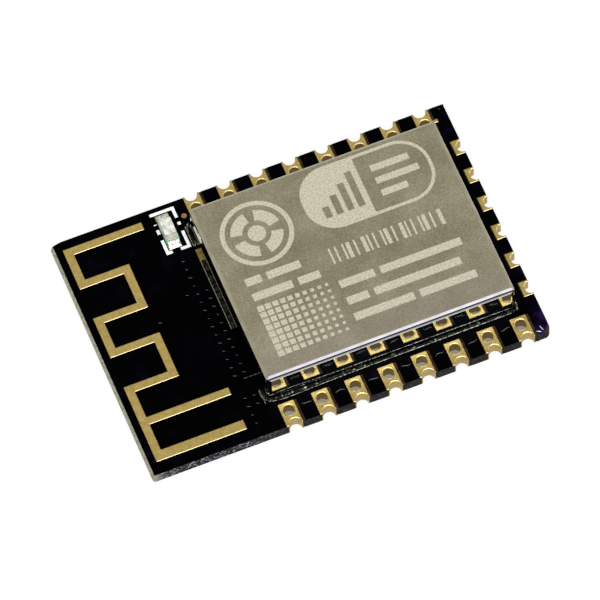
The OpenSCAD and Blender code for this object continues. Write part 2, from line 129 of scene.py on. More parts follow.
paper = bpy.data.materials.new("white_paper")
paper.use_nodes = True
tree = paper.node_tree
tree.nodes.clear()
rays = add(tree, "ShaderNodeLightPath").outputs
seen = add(tree, "ShaderNodeMath", {0: rays["Is Camera Ray"], 1: rays["Is Glossy Ray"]},
           operation="MAXIMUM")
spot = add(tree, "ShaderNodeVectorMath", {0: add(tree, "ShaderNodeTexCoord").outputs["Object"]},
           operation="ABSOLUTE")
beside, ahead, _ = add(tree, "ShaderNodeSeparateXYZ", {0: spot}).outputs
past_end = add(tree, "ShaderNodeMath", {0: beside, 1: cad_box[1].x - COVERED_IN * MM},
               operation="GREATER_THAN")
past_side = add(tree, "ShaderNodeMath", {0: ahead, 1: cad_box[1].y - COVERED_IN * MM},
                operation="GREATER_THAN")
open_sheet = add(tree, "ShaderNodeMath", {0: past_end, 1: past_side}, operation="MAXIMUM")
# Painted shade: under the board the sheet's colour and its glow are greyer.
tone = add(tree, "ShaderNodeMix", {0: open_sheet, 6: linear("#a49d8b"), 7: linear("#f4f4f4")},
           data_type="RGBA")
diffuse = add(tree, "ShaderNodeBsdfDiffuse", {"Color": tone})
shade = add(tree, "ShaderNodeMix", {0: open_sheet, 6: linear("#99938a"), 7: (1, 1, 1, 1)},
            data_type="RGBA")
white = add(tree, "ShaderNodeEmission", {"Color": shade, "Strength": 1.0})
share = add(tree, "ShaderNodeMath", {0: seen, 1: OWN_WHITE}, operation="MULTIPLY")
mixed = add(tree, "ShaderNodeMixShader", {0: share, 1: diffuse, 2: white})
add(tree, "ShaderNodeOutputMaterial", {"Surface": mixed})
sheet_mesh.materials.append(paper)

# The tent's walls are level; a panel glows high in front, and the opening lies low below it. The
# limits are cosines to the panel's middle, and heights and depths on a ball of radius 1.
WALL_LEVEL, GLOW, GLOW_WAY, GLOW_RIM, GLOW_FULL = 0.95, 2.4, (0.1, -0.68, 0.73), 0.8, 0.93
OPENING_TOP, OPENING_LOW, OPENING_RIM, OPENING_FULL = 0.5, 0.43, -0.25, -0.5
OPENING_SHADE = 0.98
world = bpy.data.worlds.new("light_tent")
world.use_nodes = True
bpy.context.scene.world = world
tree = world.node_tree
tree.nodes.clear()
way = add(tree, "ShaderNodeTexCoord").outputs["Generated"]
_, depth, height = add(tree, "ShaderNodeSeparateXYZ", {0: way}).outputs
front = add(tree, "ShaderNodeVectorMath", {0: way, 1: GLOW_WAY}, operation="DOT_PRODUCT")
glow = add(tree, "ShaderNodeMapRange", {"Value": front.outputs["Value"], "From Min": GLOW_RIM,
                                        "From Max": GLOW_FULL, "To Max": GLOW},
           interpolation_type="SMOOTHSTEP")
low = add(tree, "ShaderNodeMapRange", {"Value": height, "From Min": OPENING_TOP,
                                       "From Max": OPENING_LOW}, interpolation_type="SMOOTHSTEP")
forward = add(tree, "ShaderNodeMapRange", {"Value": depth, "From Min": OPENING_RIM,
                                           "From Max": OPENING_FULL},
              interpolation_type="SMOOTHSTEP")
opening = add(tree, "ShaderNodeMath", {0: low, 1: forward}, operation="MULTIPLY")
walls = add(tree, "ShaderNodeMath", {0: glow, 1: WALL_LEVEL}, operation="ADD")
shut = add(tree, "ShaderNodeMath", {0: opening, 1: -OPENING_SHADE, 2: 1.0},
           operation="MULTIPLY_ADD")
level = add(tree, "ShaderNodeMath", {0: walls, 1: shut}, operation="MULTIPLY")
tent = add(tree, "ShaderNodeBackground", {"Color": (1, 1, 1, 1), "Strength": level})
add(tree, "ShaderNodeOutputWorld", {"Surface": tent})

# A small soft lamp from the left lays the module's shadow on the sheet.
LAMP_SIZE, LAMP_POWER, LAMP_AT = 120, 0.22, Vector((-160, -120, 260))
soft_lamp = bpy.data.lights.new("key_lamp", "AREA")
soft_lamp.size = LAMP_SIZE * MM
soft_lamp.energy = LAMP_POWER
key_lamp = bpy.data.objects.new("key_lamp", soft_lamp)
key_lamp.location = LAMP_AT * MM
key_lamp.rotation_euler = (-key_lamp.location).to_track_quat("-Z", "Y").to_euler()
bpy.context.scene.collection.objects.link(key_lamp)


# ---- Glass-epoxy core ----
# Woven glass cloth in black-dyed epoxy, routed on three sides and snapped off along a score at
# the antenna end, where the broken fibres are pale. The copper vias are plated into it.
def new_material(name):
    """An empty material, its node tree, and Object coordinates in millimetres in that tree, on
    which a pattern of Scale 1 / s has marks about s millimetres wide."""
    material = bpy.data.materials.new(name)
    material.use_nodes = True
    tree = material.node_tree
    tree.nodes.clear()
    place = add(tree, "ShaderNodeTexCoord").outputs["Object"]
    return material, tree, add(tree, "ShaderNodeVectorMath", {0: place, 1: (1000, 1000, 1000)},
                               operation="MULTIPLY")


def dress(material, *nodes):
    """Puts a material on CAD nodes, in place of the one that they came with."""
    for node in nodes:
        mesh = frame["nodes"][node].data
        mesh.materials.clear()
        mesh.materials.append(material)


# The router tears the cloth: dark resin, with specks of cut glass towards the antenna end. The
# glass threads are 0.01 mm; specks and fibres are drawn as coarse bundles, so that they show.
SPECK, TEAR, FIBRE, OLIVE_MOTTLE, PIT = 0.13, 0.2, 0.16, 0.25, 0.1
# Where along the board the specks begin and are full, and where the snapped end does.
SPECKED_FROM, SPECKED_FULL, SNAPPED_FROM, SNAPPED_FULL = -3.9, -6.4, -11.3, -11.8
cut_core, tree, mm = new_material("routed_glass_epoxy")
x = add(tree, "ShaderNodeSeparateXYZ", {0: mm}).outputs[0]
specks = add(tree, "ShaderNodeTexNoise", {"Vector": mm, "Scale": 1 / SPECK, "Detail": 2.0})
specks = add(tree, "ShaderNodeValToRGB", {"Fac": specks},
             ((0.44, "#050506"), (0.54, "#2a2b2f"), (0.64, "#83858c")))
tears = add(tree, "ShaderNodeTexNoise", {"Vector": mm, "Scale": 1 / TEAR, "Detail": 4.0,
                                         "Roughness": 0.65})
tears = add(tree, "ShaderNodeValToRGB", {"Fac": tears},
            ((0.42, "#040403"), (0.56, "#131211"), (0.68, "#4a463e")))
along = add(tree, "ShaderNodeMapping", {"Vector": mm, "Scale": (0.7, 0.7, 5.0)})
fibres = add(tree, "ShaderNodeTexNoise", {"Vector": along, "Scale": 1 / FIBRE, "Detail": 4.0,
                                          "Roughness": 0.65})
fibres = add(tree, "ShaderNodeValToRGB", {"Fac": fibres},
             ((0.3, "#33322a"), (0.44, "#7a7765"), (0.62, "#a9a795")))
specked = add(tree, "ShaderNodeMapRange", {"Value": x, "From Min": SPECKED_FROM,
                                           "From Max": SPECKED_FULL})
snapped = add(tree, "ShaderNodeMapRange", {"Value": x, "From Min": SNAPPED_FROM,
                                           "From Max": SNAPPED_FULL})
colour = add(tree, "ShaderNodeMix", {0: specked, 6: tears, 7: specks}, data_type="RGBA")
colour = add(tree, "ShaderNodeMix", {0: snapped, 6: colour, 7: fibres}, data_type="RGBA")
# In the openings of the mask the bare resin lies level, smooth and olive brown.
resin = add(tree, "ShaderNodeTexNoise", {"Vector": mm, "Scale": 1 / OLIVE_MOTTLE})
resin = add(tree, "ShaderNodeValToRGB", {"Fac": resin}, ((0.35, "#140c05"), (0.65, "#3d2814")))
upward = add(tree, "ShaderNodeSeparateXYZ",
             {0: add(tree, "ShaderNodeNewGeometry").outputs["True Normal"]}).outputs[2]
level_resin = add(tree, "ShaderNodeMath", {0: upward, 1: 0.98}, operation="GREATER_THAN")
colour = add(tree, "ShaderNodeMix", {0: level_resin, 6: colour, 7: resin}, data_type="RGBA")
pits = add(tree, "ShaderNodeTexNoise", {"Vector": mm, "Scale": 1 / PIT})
pits = add(tree, "ShaderNodeBump", {"Height": pits, "Distance": 0.03 * MM})
shader = add(tree, "ShaderNodeBsdfPrincipled", {"Base Color": colour, "Roughness": 0.7,
                                                "Specular IOR Level": 0.15, "Normal": pits})
add(tree, "ShaderNodeOutputMaterial", {"Surface": shader})
dress(cut_core, "substrate")

# Electroplated copper, pinkish and slightly mottled.
COPPER_MOTTLE = 0.1
via_copper, tree, mm = new_material("electroplated_copper")
mottle = add(tree, "ShaderNodeTexNoise", {"Vector": mm, "Scale": 1 / COPPER_MOTTLE})
colour = add(tree, "ShaderNodeValToRGB", {"Fac": mottle}, ((0.4, "#a8683f"), (0.6, "#c58555")))
shader = add(tree, "ShaderNodeBsdfPrincipled", {"Base Color": colour, "Metallic": 1.0,
                                                "Roughness": 0.4})
add(tree, "ShaderNodeOutputMaterial", {"Surface": shader})
dress(via_copper, "vias")


# ---- Solder mask ----
# Glossy black epoxy ink, screened over both faces and cured. It is almost black, with a faint
# violet tint that grows towards the short row and near the worn corner, and slightly wavy.
INK_CLOUD, INK_WAVE = 1.2, 0.35
VIOLET_FROM, VIOLET_FULL, VIOLET_CAST = 10.9, 12.0, 0.14
WORN_CORNER, WORN_FROM, WORN_FULL, CORNER_VIOLET = (12, -8, 0.8), 2.4, 0.6, 0.3
mask, tree, mm = new_material("black_solder_mask")
x = add(tree, "ShaderNodeSeparateXYZ", {0: mm}).outputs[0]
cast = add(tree, "ShaderNodeTexNoise", {"Vector": mm, "Scale": 1 / INK_CLOUD})
end_violet = add(tree, "ShaderNodeMapRange", {"Value": x, "From Min": VIOLET_FROM, "From Max": VIOLET_FULL,
                                        "To Max": VIOLET_CAST}, interpolation_type="SMOOTHSTEP")
reach = add(tree, "ShaderNodeVectorMath", {0: mm, 1: WORN_CORNER}, operation="DISTANCE")
corner_violet = add(tree, "ShaderNodeMapRange", {"Value": reach.outputs["Value"], "From Min": WORN_FROM,
                                        "From Max": WORN_FULL, "To Max": CORNER_VIOLET},
           interpolation_type="SMOOTHSTEP")
cast = add(tree, "ShaderNodeMath", {0: cast, 1: end_violet}, operation="ADD")
cast = add(tree, "ShaderNodeMath", {0: cast, 1: corner_violet}, operation="ADD")
colour = add(tree, "ShaderNodeValToRGB", {"Fac": cast},
             ((0.5, "#000001"), (0.72, "#020206"), (1.0, "#21133f")))
waves = add(tree, "ShaderNodeTexNoise", {"Vector": mm, "Scale": 1 / INK_WAVE})
waves = add(tree, "ShaderNodeBump", {"Height": waves, "Distance": 0.01 * MM, "Strength": 0.5})
shader = add(tree, "ShaderNodeBsdfPrincipled", {"Base Color": colour, "Roughness": 0.25,
                                                "Specular IOR Level": 0.01, "Normal": waves})
add(tree, "ShaderNodeOutputMaterial", {"Surface": shader})
dress(mask, "solder_mask_top", "solder_mask_bottom")


def make_piece(name, slot, points, faces, material, smooth=False):
    """A mesh object at the origin from points in millimetres and faces, riding on the module and
    taking the material that it is given; slot is not used."""
    mesh = bpy.data.meshes.new(name)
    mesh.from_pydata((np.asarray(points) * MM).tolist(), [], faces)
    mesh.polygons.foreach_set("use_smooth", [smooth] * len(mesh.polygons))
    mesh.materials.append(material)
    piece = bpy.data.objects.new(name, mesh)
    bpy.context.scene.collection.objects.link(piece)
    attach(piece, "root")


def soft_runs(paths, cuts=3, steps=8):
    """Closed tubes along paths, as one mesh. Each path is rows of x, y, z and radius. Each cut
    puts two rows in place of every stretch, at a quarter and three quarters of it, which rounds
    the corners. A ring of points stands square to the way at each row, at the radius, and a flat
    cap closes each end."""
    points, faces, base = [], [], 0
    for path in paths:
        path = np.asarray(path, float)
        for _ in range(cuts):
            inner = np.stack([path[:-1] * 0.75 + path[1:] * 0.25,
                              path[:-1] * 0.25 + path[1:] * 0.75], 1)
            path = np.concatenate([path[:1], inner.reshape(-1, 4), path[-1:]])
        way = np.gradient(path[:, :3], axis=0)
        way /= np.linalg.norm(way, axis=1)[:, None]
        side = np.cross(way, (0, 0, 1))
        side /= np.linalg.norm(side, axis=1)[:, None]
        over = np.cross(way, side)
        a = np.linspace(0, 2 * np.pi, steps, endpoint=False)[None, :, None]
        rings = path[:, None, :3] + path[:, None, 3:] * (
            np.cos(a) * side[:, None] + np.sin(a) * over[:, None])
        n = len(path)
        r, k = np.arange(n - 1)[:, None] * steps, np.arange(steps)[None, :]
        after = (k + 1) % steps
        skin = np.stack([r + k, r + after, r + steps + after, r + steps + k], 2).reshape(-1, 4)
        points.append(rings.reshape(-1, 3))
        faces += (skin + base).tolist()
        faces.append((np.arange(steps)[::-1] + base).tolist())
        faces.append((np.arange((n - 1) * steps, n * steps) + base).tolist())
        base += n * steps
    return np.concatenate(points), faces


# The ink sinks a little into each plugged via and leaves a short lip that catches the light, and
# it stands up over the fine tracks between the pads.
GLOSS_MOTTLE = 0.4
glossy, tree, mm = new_material("mask_over_copper")
mottle = add(tree, "ShaderNodeTexNoise", {"Vector": mm, "Scale": 1 / GLOSS_MOTTLE})
colour = add(tree, "ShaderNodeValToRGB", {"Fac": mottle}, ((0.35, "#060607"), (0.65, "#15141b")))
shader = add(tree, "ShaderNodeBsdfPrincipled", {"Base Color": colour, "Roughness": 0.14,
                                                "Specular IOR Level": 1.0})
add(tree, "ShaderNodeOutputMaterial", {"Surface": shader})
# Each column of vias: x, the y of its first via, and how many follow each other towards -Y.
VIA_STEP = 0.57
VIA_COLUMNS = ((-5.425, 4.12, 15), (-4.855, 1.89, 11), (-5.425, -5.4, 4), (-4.875, -5.4, 2))
LONE_VIAS = [(-8.055, 0.93), (-6.005, 1.99), (11.675, 7.78)]
# Half length of a lip, its slant, its radius, its sink, and the radius and sink at its ends.
LIP, LIP_SLANT, LIP_R, LIP_SINK, LIP_END = 0.1, 0.035, 0.026, 0.006, 0.012
mask_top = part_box("solder_mask_top")[1].z / MM
plugs = [(x, y - VIA_STEP * i) for x, y, count in VIA_COLUMNS for i in range(count)]
plugs += LONE_VIAS
rng = np.random.default_rng(4)
lips = []
for (x, y), spread in zip(plugs, rng.uniform(0.6, 1.2, len(plugs))):
    lips.append([(x - LIP * spread, y + LIP_SLANT, mask_top - LIP_END, LIP_END),
                 (x, y, mask_top - LIP_SINK, LIP_R * spread),
                 (x + LIP * spread, y - LIP_SLANT, mask_top - LIP_END, LIP_END)])
make_piece("ink_over_vias", "solder_mask", *soft_runs(lips, 1, 6), glossy, smooth=True)

# A wandering track crosses the mask between each two front pads; three short ones follow each
# other beside the can.
TRACK_Y, TRACK_WANDER, TRACK_SINK = -7.0, 0.09, 0.008
TRACK_R = np.array([0.01, 0.035, 0.03, 0.01])
SHORT_TRACKS, SHORT_Y, SHORT_STEP = (-5.025, -4.705, -4.425), -4.21, 0.13
pad_row = [(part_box(f"front_pad_{i}")[0].x / MM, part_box(f"front_pad_{i}")[1].x / MM)
           for i in range(1, 9)]
ridges = []
for (_, x0), (x1, _) in zip(pad_row[:-1], pad_row[1:]):
    x = np.linspace(x0 + 0.34, x1 - 0.12, 4)
    y = TRACK_Y + rng.uniform(-TRACK_WANDER, TRACK_WANDER, 4)
    ridges.append(np.stack([x, y, x * 0 + mask_top - TRACK_SINK, TRACK_R], 1))
for x in SHORT_TRACKS:
    ridges.append([(x, SHORT_Y + 0.01, mask_top - 0.01, 0.02),
                   (x + SHORT_STEP, SHORT_Y, mask_top, 0.035),
                   (x + 2 * SHORT_STEP, SHORT_Y, mask_top - 0.01, 0.02)])
make_piece("ink_over_tracks", "solder_mask", *soft_runs(ridges), glossy, smooth=True)

# By the worn corner at the last front pad, two small raised strokes are coloured near white as a
# painted highlight.
GLINT_MOTTLE = 0.06
corner_glint_paint, tree, mm = new_material("corner_glint_material")
mottle = add(tree, "ShaderNodeTexNoise", {"Vector": mm, "Scale": 1 / GLINT_MOTTLE})
colour = add(tree, "ShaderNodeValToRGB", {"Fac": mottle}, ((0.38, "#8f8a9e"), (0.55, "#e9e7ee")))
shader = add(tree, "ShaderNodeBsdfPrincipled", {"Base Color": colour, "Roughness": 0.45})
add(tree, "ShaderNodeOutputMaterial", {"Surface": shader})
strokes = [[(11.5, -7.5, mask_top - 0.01, 0.01), (11.52, -7.65, mask_top, 0.022),
            (11.58, -7.8, mask_top - 0.005, 0.02), (11.61, -7.88, mask_top - 0.02, 0.012)],
           [(11.2, -7.76, mask_top - 0.01, 0.015), (11.32, -7.83, mask_top - 0.01, 0.04),
            (11.47, -7.9, mask_top - 0.02, 0.02)]]
make_piece("corner_glint_strokes", "solder_mask", *soft_runs(strokes), corner_glint_paint, smooth=True)


# ---- Gold lands, pads and antenna ----
# Copper plated with nickel and a thin layer of immersion gold: satin and finely mottled. On the
# etched shoulders that lean to the front, a painted highlight turns the colour cream.
# The real grain of the plating is about 0.02 mm; it is drawn coarser, so that it shows.
GOLD_GRAIN, GOLD_STAIN, SHOULDER = 0.09, 0.35, 0.08
gold, tree, mm = new_material("immersion_gold")
mottle = add(tree, "ShaderNodeTexNoise", {"Vector": mm, "Scale": 1 / GOLD_STAIN, "Detail": 5.0,
                                          "Roughness": 0.6})
grain = add(tree, "ShaderNodeTexNoise", {"Vector": mm, "Scale": 1 / GOLD_GRAIN, "Detail": 2.0})
mottle = add(tree, "ShaderNodeMath", {0: mottle, 1: 0.4, 2: 0.05}, operation="MULTIPLY_ADD")
mottle = add(tree, "ShaderNodeMath", {0: grain, 1: 0.5, 2: mottle}, operation="MULTIPLY_ADD")
face = add(tree, "ShaderNodeValToRGB", {"Fac": mottle},
           ((0.34, "#988249"), (0.5, "#ae9757"), (0.66, "#c2ac72")))
shoulder = add(tree, "ShaderNodeBevel", {"Radius": SHOULDER * MM}, samples=8)
leaning = add(tree, "ShaderNodeSeparateXYZ", {0: shoulder}).outputs[1]
lean = add(tree, "ShaderNodeMapRange", {"Value": leaning, "From Min": -0.12, "From Max": -0.5},
           interpolation_type="SMOOTHSTEP")
upward = add(tree, "ShaderNodeSeparateXYZ",
             {0: add(tree, "ShaderNodeNewGeometry").outputs["True Normal"]}).outputs[2]
level_face = add(tree, "ShaderNodeMapRange", {"Value": upward, "From Min": 0.25, "From Max": 0.5})
# Painted highlight: on faces that look up, where the rounded normal leans to the front, the colour
# turns cream and the roughness drops.
lit_edge = add(tree, "ShaderNodeMath", {0: lean, 1: level_face}, operation="MULTIPLY")
colour = add(tree, "ShaderNodeMix", {0: lit_edge, 6: face, 7: linear("#fff0b4")},
             data_type="RGBA")
sheen = add(tree, "ShaderNodeMath", {0: lit_edge, 1: -0.2, 2: 0.38}, operation="MULTIPLY_ADD")
satin = add(tree, "ShaderNodeBump", {"Height": grain, "Distance": 0.004 * MM, "Strength": 0.6,
                                     "Normal": shoulder})
shader = add(tree, "ShaderNodeBsdfPrincipled", {"Base Color": colour, "Metallic": 1.0,
                                                "Roughness": sheen, "Normal": satin})
add(tree, "ShaderNodeOutputMaterial", {"Surface": shader})
dress(gold, "antenna_trace", "lamp_lands", "inner_lands")
dress(gold, *[name for name in frame["nodes"] if "_pad_" in name])


def rings(centres, ring, tube, steps=32, around=8):
    """Closed rings, one about each centre (x, y, z): at turn u and angle v a point lies
    ring + tube cos v from the upright axis and tube sin v above the centre."""
    u = np.linspace(0, 2 * np.pi, steps, endpoint=False)[:, None]
    v = np.linspace(0, 2 * np.pi, around, endpoint=False)[None, :]
    out = ring + tube * np.cos(v)
    one = np.stack([out * np.cos(u), out * np.sin(u), tube * np.sin(v) + 0 * u], 2).reshape(-1, 3)
    i, k = np.arange(steps)[:, None], np.arange(around)[None, :]
    j, m = (i + 1) % steps, (k + 1) % around
    quads = np.stack([i * around + k, j * around + k, j * around + m, i * around + m],
                     2).reshape(-1, 4)
    centres = np.asarray(centres, float)
    faces = quads[None] + (np.arange(len(centres)) * len(one))[:, None, None]
    return (one[None] + centres[:, None]).reshape(-1, 3), faces.reshape(-1, 4).tolist()


# The plating rolls over the mouth of each pin hole in a narrow lip, coloured paler than the pads
# as a painted highlight.
LIP_RING, LIP_TUBE, LIP_MOTTLE = 0.352, 0.024, 0.12
lip_gold, tree, mm = new_material("gold_lip_painted_highlight")
mottle = add(tree, "ShaderNodeTexNoise", {"Vector": mm, "Scale": 1 / LIP_MOTTLE})
colour = add(tree, "ShaderNodeValToRGB", {"Fac": mottle}, ((0.35, "#b39c5c"), (0.65, "#dcc98b")))
shader = add(tree, "ShaderNodeBsdfPrincipled", {"Base Color": colour, "Metallic": 1.0,
                                                "Roughness": 0.25})
add(tree, "ShaderNodeOutputMaterial", {"Surface": shader})
land_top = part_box("front_pad_1")[1].z / MM
mouths = [(hole["pos_m"][0] / MM, hole["pos_m"][1] / MM, land_top - 0.5 * LIP_TUBE)
          for hole in frame["record"]["mounts"] if hole["kind"] == "bore"]
make_piece("hole_lips", "gold_plate", *rings(mouths, LIP_RING, LIP_TUBE), lip_gold, smooth=True)

# The small test land has been probed and heated: its gold is thin and brownish.
SCORCH = 0.1
worn_gold, tree, mm = new_material("worn_brownish_gold")
mottle = add(tree, "ShaderNodeTexNoise", {"Vector": mm, "Scale": 1 / SCORCH})
colour = add(tree, "ShaderNodeValToRGB", {"Fac": mottle}, ((0.38, "#6b4a28"), (0.6, "#a9835a")))
shader = add(tree, "ShaderNodeBsdfPrincipled", {"Base Color": colour, "Metallic": 1.0,
                                                "Roughness": 0.45})
add(tree, "ShaderNodeOutputMaterial", {"Surface": shader})
dress(worn_gold, "test_land")


# ---- Printed frame ----
# White epoxy ink, screened round the lamp: matt, and a little thin and bluish in places, where
# the mesh of the screen let less of it through.
INK_COVER = 0.12
ink, tree, mm = new_material("white_epoxy_ink")
cover = add(tree, "ShaderNodeTexNoise", {"Vector": mm, "Scale": 1 / INK_COVER})
colour = add(tree, "ShaderNodeValToRGB", {"Fac": cover}, ((0.32, "#c9cdd8"), (0.5, "#f0f1f2")))
shader = add(tree, "ShaderNodeBsdfPrincipled", {"Base Color": colour, "Roughness": 0.6})
add(tree, "ShaderNodeOutputMaterial", {"Surface": shader})
dress(ink, "printed_frame")


# ---- Shield's land ----
# A gold-plated ring that the can stands on. Solder has wetted it, and the wetted metal is glossy
# and coloured near black as painted shade, with a pale edge; only the upper end of the strip beside
# the left wall has kept its gold.
can_low, can_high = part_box("shield_can")
# How far the strip reaches outside the can, its pale edge line, and between which y it is dry.
STRIP_OUT, EDGE_LINE, DRY_FROM, DRY_TO = 0.22, 0.035, 3.78, 4.56
STREAK, OUTSIDE = 0.15, 0.01
wetted, tree, mm = new_material("gold_land_wetted_by_solder")
x, y, _ = add(tree, "ShaderNodeSeparateXYZ", {0: mm}).outputs
beside = add(tree, "ShaderNodeMath", {0: x, 1: can_low.x / MM - OUTSIDE},
             operation="LESS_THAN")
above = add(tree, "ShaderNodeMath", {0: y, 1: DRY_FROM}, operation="GREATER_THAN")
below = add(tree, "ShaderNodeMath", {0: y, 1: DRY_TO}, operation="LESS_THAN")
dry = add(tree, "ShaderNodeMath", {0: above, 1: below}, operation="MULTIPLY")
dry = add(tree, "ShaderNodeMath", {0: dry, 1: beside}, operation="MULTIPLY")
rim = add(tree, "ShaderNodeMath", {0: x, 1: can_low.x / MM - STRIP_OUT + EDGE_LINE},
          operation="LESS_THAN")
streak = add(tree, "ShaderNodeTexNoise", {"Vector": mm, "Scale": 1 / STREAK})
# Painted shade: the wetted land is coloured near black.
tinned = add(tree, "ShaderNodeValToRGB", {"Fac": streak}, ((0.42, "#0b0b09"), (0.66, "#3a3b33")))
pale = add(tree, "ShaderNodeValToRGB", {"Fac": streak}, ((0.3, "#6f6c52"), (0.6, "#a8a588")))
kept = add(tree, "ShaderNodeValToRGB", {"Fac": streak}, ((0.35, "#7d6c38"), (0.65, "#a18d52")))
colour = add(tree, "ShaderNodeMix", {0: rim, 6: tinned, 7: pale}, data_type="RGBA")
colour = add(tree, "ShaderNodeMix", {0: dry, 6: colour, 7: kept}, data_type="RGBA")
shader = add(tree, "ShaderNodeBsdfPrincipled", {"Base Color": colour, "Metallic": 1.0,
                                                "Roughness": 0.3})
add(tree, "ShaderNodeOutputMaterial", {"Surface": shader})
dress(wetted, "shield_land")


# ---- Shield can ----
# Nickel silver, cold rolled, drawn in one stroke: the top keeps the satin of the rolled sheet
# with faint tarnish, and the bends are smoother. Top, bends and walls are coloured as lit and
# shaded copies of the sheet: the front wall a bright bluish white as painted reflection, the
# front bend a darker violet grey as painted shade.
# The grain of the rolled sheet is about 0.03 mm; it is drawn coarser, so that it shows.
STAIN, SHEET_GRAIN, WIPE = 2.2, 0.085, 0.8
# Towards the front edge the top turns paler and lilac; this starts and is full at these y.
LILAC_FROM, LILAC_FULL, LILAC = -2.5, -6.0, 0.2
# A drawn wall leans in by a few degrees, which the straight solid leaves out.
WALL_LEAN = 0.05
can_metal, tree, mm = new_material("rolled_nickel_silver")
y = add(tree, "ShaderNodeSeparateXYZ", {0: mm}).outputs[1]
tarnish = add(tree, "ShaderNodeTexNoise", {"Vector": mm, "Scale": 1 / STAIN, "Detail": 5.0,
                                           "Roughness": 0.55})
grain = add(tree, "ShaderNodeTexNoise", {"Vector": mm, "Scale": 1 / SHEET_GRAIN, "Detail": 2.0})
tarnish = add(tree, "ShaderNodeMath", {0: tarnish, 1: 0.55, 2: -0.125}, operation="MULTIPLY_ADD")
tarnish = add(tree, "ShaderNodeMath", {0: grain, 1: 0.7, 2: tarnish}, operation="MULTIPLY_ADD")
top = add(tree, "ShaderNodeValToRGB", {"Fac": tarnish},
          ((0.3, "#79725c"), (0.5, "#8e8770"), (0.7, "#a39c87")))
lilac_share = add(tree, "ShaderNodeMapRange", {"Value": y, "From Min": LILAC_FROM, "From Max": LILAC_FULL,
                                        "To Max": LILAC}, interpolation_type="SMOOTHSTEP")
top = add(tree, "ShaderNodeMix", {0: lilac_share, 6: top, 7: linear("#a39a9a")}, data_type="RGBA")
facing = add(tree, "ShaderNodeNewGeometry").outputs["Normal"]
_, forward, upward = add(tree, "ShaderNodeSeparateXYZ", {0: facing}).outputs
drawn = add(tree, "ShaderNodeMapRange", {"Value": upward, "From Min": 0.995, "From Max": 0.93},
            interpolation_type="SMOOTHSTEP")
frontal = add(tree, "ShaderNodeMapRange", {"Value": forward, "From Min": -0.05, "From Max": -0.2},
              interpolation_type="SMOOTHSTEP")
upright = add(tree, "ShaderNodeMapRange", {"Value": upward, "From Min": 0.25, "From Max": 0.05},
              interpolation_type="SMOOTHSTEP")
wiped = add(tree, "ShaderNodeTexNoise", {"Vector": mm, "Scale": 1 / WIPE, "Detail": 3.0})
# Painted light: each bend and wall takes its own lit or shaded copy of the colour, the front wall a
# painted reflection, bright bluish white, and the front bend a painted shade, violet grey.
side_bends = add(tree, "ShaderNodeValToRGB", {"Fac": wiped}, ((0.35, "#968f79"), (0.65, "#a69f8a")))
front_bend_painted_shade = add(tree, "ShaderNodeValToRGB", {"Fac": wiped}, ((0.35, "#838184"), (0.65, "#928f93")))
front_wall_painted_reflection = add(tree, "ShaderNodeValToRGB", {"Fac": wiped}, ((0.35, "#e2e6ea"), (0.65, "#eff2f6")))
other_walls = add(tree, "ShaderNodeValToRGB", {"Fac": wiped}, ((0.3, "#9c988b"), (0.7, "#aba79a")))
walls = add(tree, "ShaderNodeMix", {0: frontal, 6: other_walls, 7: front_wall_painted_reflection}, data_type="RGBA")
bends = add(tree, "ShaderNodeMix", {0: frontal, 6: side_bends, 7: front_bend_painted_shade}, data_type="RGBA")
colour = add(tree, "ShaderNodeMix", {0: drawn, 6: top, 7: bends}, data_type="RGBA")
colour = add(tree, "ShaderNodeMix", {0: upright, 6: colour, 7: walls}, data_type="RGBA")
satin = add(tree, "ShaderNodeMath", {0: drawn, 1: -0.3, 2: 0.36}, operation="MULTIPLY_ADD")
leaning = add(tree, "ShaderNodeMath", {0: upright, 1: WALL_LEAN}, operation="MULTIPLY")
leaning = add(tree, "ShaderNodeCombineXYZ", {2: leaning})
leaning = add(tree, "ShaderNodeVectorMath", {0: facing, 1: leaning}, operation="ADD")
leaning = add(tree, "ShaderNodeVectorMath", {0: leaning}, operation="NORMALIZE")
rolled = add(tree, "ShaderNodeBump", {"Height": grain, "Distance": 0.003 * MM, "Strength": 0.35,
                                      "Normal": leaning})
shader = add(tree, "ShaderNodeBsdfPrincipled", {"Base Color": colour, "Metallic": 1.0,
                                                "Roughness": satin, "Normal": rolled})
add(tree, "ShaderNodeOutputMaterial", {"Surface": shader})
dress(can_metal, "shield_can")


# ---- Etched marks ----
# A laser roughens the nickel silver in close lines, so a mark is paler and more matt than the
# sheet. The marks are plain shapes: a ring target, a panel, bars and a field of squares.
LASER_PITCH, BURN = 0.13, 0.1
# Real laser lines lie about 0.05 mm apart; these are drawn wider, so that they show. A wave
# texture repeats every 0.314 / scale.
etched, tree, mm = new_material("laser_etched_nickel_silver")
lines = add(tree, "ShaderNodeTexWave", {"Vector": mm, "Scale": 0.314 / LASER_PITCH,
                                        "Distortion": 0.6, "Detail": 1.0},
            bands_direction="X").outputs["Fac"]
burn = add(tree, "ShaderNodeTexNoise", {"Vector": mm, "Scale": 1 / BURN, "Detail": 3.0})
tone = add(tree, "ShaderNodeMath", {0: lines, 1: 0.05, 2: burn}, operation="MULTIPLY_ADD")
colour = add(tree, "ShaderNodeValToRGB", {"Fac": tone},
             ((0.36, "#a7a18b"), (0.52, "#c1bba6"), (0.7, "#d0cab6")))
rough = add(tree, "ShaderNodeBump", {"Height": tone, "Distance": 0.006 * MM, "Strength": 0.6})
shader = add(tree, "ShaderNodeBsdfPrincipled", {"Base Color": colour, "Metallic": 0.75,
                                                "Roughness": 0.5, "Normal": rough})
add(tree, "ShaderNodeOutputMaterial", {"Surface": shader})

# A mark stands just proud of the can's face and reaches a little way into the metal.
MARK_TOP, MARK_DEPTH = 0.002, 0.03
can_centre = (can_low + can_high) / 2 / MM


